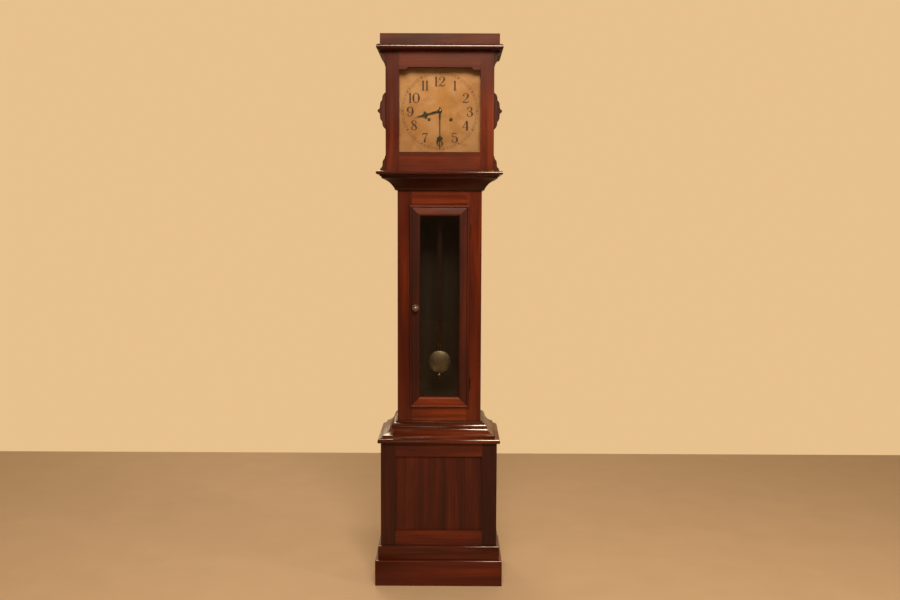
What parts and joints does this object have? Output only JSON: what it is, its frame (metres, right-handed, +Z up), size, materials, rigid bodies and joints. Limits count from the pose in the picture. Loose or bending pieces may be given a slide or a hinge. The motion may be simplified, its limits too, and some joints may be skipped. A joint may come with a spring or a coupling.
{
  "type": "grandfather clock",
  "caption": "Tall case clock with a glazed hood over a square numbered dial, a glazed trunk door, a moulded base, and a spring movement with a swinging pendulum.",
  "frame": {"origin": "middle of the rectangle that the plinth stands on, at floor level", "axes": "+Z up the case, -Y out of the dial towards the viewer, +X to the viewer's right"},
  "size_m": [0.461, 0.305, 1.981],
  "materials": {
    "mahogany": "glossy varnish",
    "secondary_wood": "dull",
    "glass": "polished",
    "dial_brass": "brushed and lacquered",
    "brass": "aged",
    "blued_steel": "blued",
    "steel": "satin"
  },
  "bodies": {
    "case": {"back_cock": "brass", "backboard": "secondary_wood", "base_inner_boards": "secondary_wood", "base_moulding": "mahogany", "base_panel": "mahogany", "base_rails": "mahogany", "base_sides": "mahogany", "base_stiles": "mahogany", "centre_wheel": "brass", "cornice_board": "mahogany", "dial_plate": "dial_brass", "escape_wheel": "brass", "frieze": "mahogany", "gong": "steel", "hood_ears_left": "mahogany", "hood_ears_right": "mahogany", "hood_ledge": "mahogany", "hood_sides": "mahogany", "lower_plinth": "mahogany", "mainsprings": "steel", "movement_plates": "brass", "pillars_and_dial_feet": "brass", "seat_board": "secondary_wood", "spring_barrels": "brass", "strike_train": "brass", "third_wheel": "brass", "trunk_cove": "mahogany", "trunk_hinge_case_leaves": "brass", "trunk_rails": "mahogany", "trunk_sides": "mahogany", "trunk_stiles": "mahogany", "upper_plinth": "mahogany"},
    "hood_door": {"hood_door_stiles": "mahogany", "hood_door_rails": "mahogany", "hood_door_glass": "glass", "hood_glass_beads": "mahogany", "hood_door_pivots": "brass"},
    "trunk_door": {"trunk_door_stiles": "mahogany", "trunk_door_rails": "mahogany", "trunk_door_glass": "glass", "trunk_glass_beads": "mahogany", "trunk_door_hinge_leaves": "brass"},
    "knob": {"door_knob": "brass", "door_turn_button": "brass"},
    "minute_hand": {"minute_hand": "blued_steel", "hand_nut": "brass", "cannon_pinion": "brass"},
    "hour_hand": {"hour_hand": "blued_steel", "hour_wheel": "brass"},
    "minute_wheel": {"minute_wheel": "brass"},
    "time_arbor": {"time_winding_arbor": "steel"},
    "strike_arbor": {"strike_winding_arbor": "steel"},
    "hammer": {"strike_hammer": "steel"},
    "anchor": {"anchor_and_crutch": "steel"},
    "pendulum": {"suspension_spring": "steel", "pendulum_rod": "secondary_wood", "pendulum_stirrup": "brass", "pendulum_bob": "brass"},
    "rating_nut": {"rating_nut": "brass"}
  },
  "joints": [
    {"name": "hood_door_hinge", "type": "hinge", "parent": "case", "child": "hood_door", "pos_m": [0.19, -0.113, 1.714], "axis": [0, 0, 1], "range_deg": [0, 110]},
    {"name": "trunk_door_hinge", "type": "hinge", "parent": "case", "child": "trunk_door", "pos_m": [0.112, -0.0777, 1.0135], "axis": [0, 0, 1], "range_deg": [0, 110]},
    {"name": "door_knob_turn", "type": "hinge", "parent": "trunk_door", "child": "knob", "pos_m": [-0.0862, -0.08, 1.0107], "axis": [0, 1, 0], "range_deg": [0, 90]},
    {"name": "minute_hand_turn", "type": "hinge", "parent": "case", "child": "minute_hand", "pos_m": [0, -0.06, 1.718], "axis": [0, 1, 0], "continuous": true},
    {"name": "hour_hand_turn", "type": "hinge", "parent": "case", "child": "hour_hand", "pos_m": [0, -0.06, 1.718], "axis": [0, 1, 0], "continuous": true},
    {"name": "minute_wheel_turn", "type": "hinge", "parent": "case", "child": "minute_wheel", "pos_m": [0.02079, -0.055, 1.73], "axis": [0, 1, 0], "continuous": true},
    {"name": "time_winding_turn", "type": "hinge", "parent": "case", "child": "time_arbor", "pos_m": [0.039, -0.04, 1.687], "axis": [0, 1, 0], "continuous": true},
    {"name": "strike_winding_turn", "type": "hinge", "parent": "case", "child": "strike_arbor", "pos_m": [-0.039, -0.04, 1.687], "axis": [0, 1, 0], "continuous": true},
    {"name": "hammer_lift", "type": "hinge", "parent": "case", "child": "hammer", "pos_m": [-0.064, 0.022, 1.648], "axis": [0, 1, 0], "range_deg": [0, 18]},
    {"name": "pendulum_swing", "type": "hinge", "parent": "case", "child": "pendulum", "pos_m": [0, 0.024, 1.785], "axis": [0, 1, 0], "range_deg": [-3, 3]},
    {"name": "anchor_swing", "type": "hinge", "parent": "case", "child": "anchor", "pos_m": [0, 0, 1.785], "axis": [0, 1, 0], "range_deg": [-3, 3]},
    {"name": "rating_nut_turn", "type": "hinge", "parent": "pendulum", "child": "rating_nut", "pos_m": [0, 0.024, 0.751], "axis": [0, 0, 1], "continuous": true}
  ],
  "couplings": [
    {"joint": "hour_hand_turn", "follows": "minute_hand_turn", "ratio": 0.083333},
    {"joint": "minute_wheel_turn", "follows": "minute_hand_turn", "ratio": -0.33333},
    {"joint": "anchor_swing", "follows": "pendulum_swing", "ratio": 1}
  ]
}
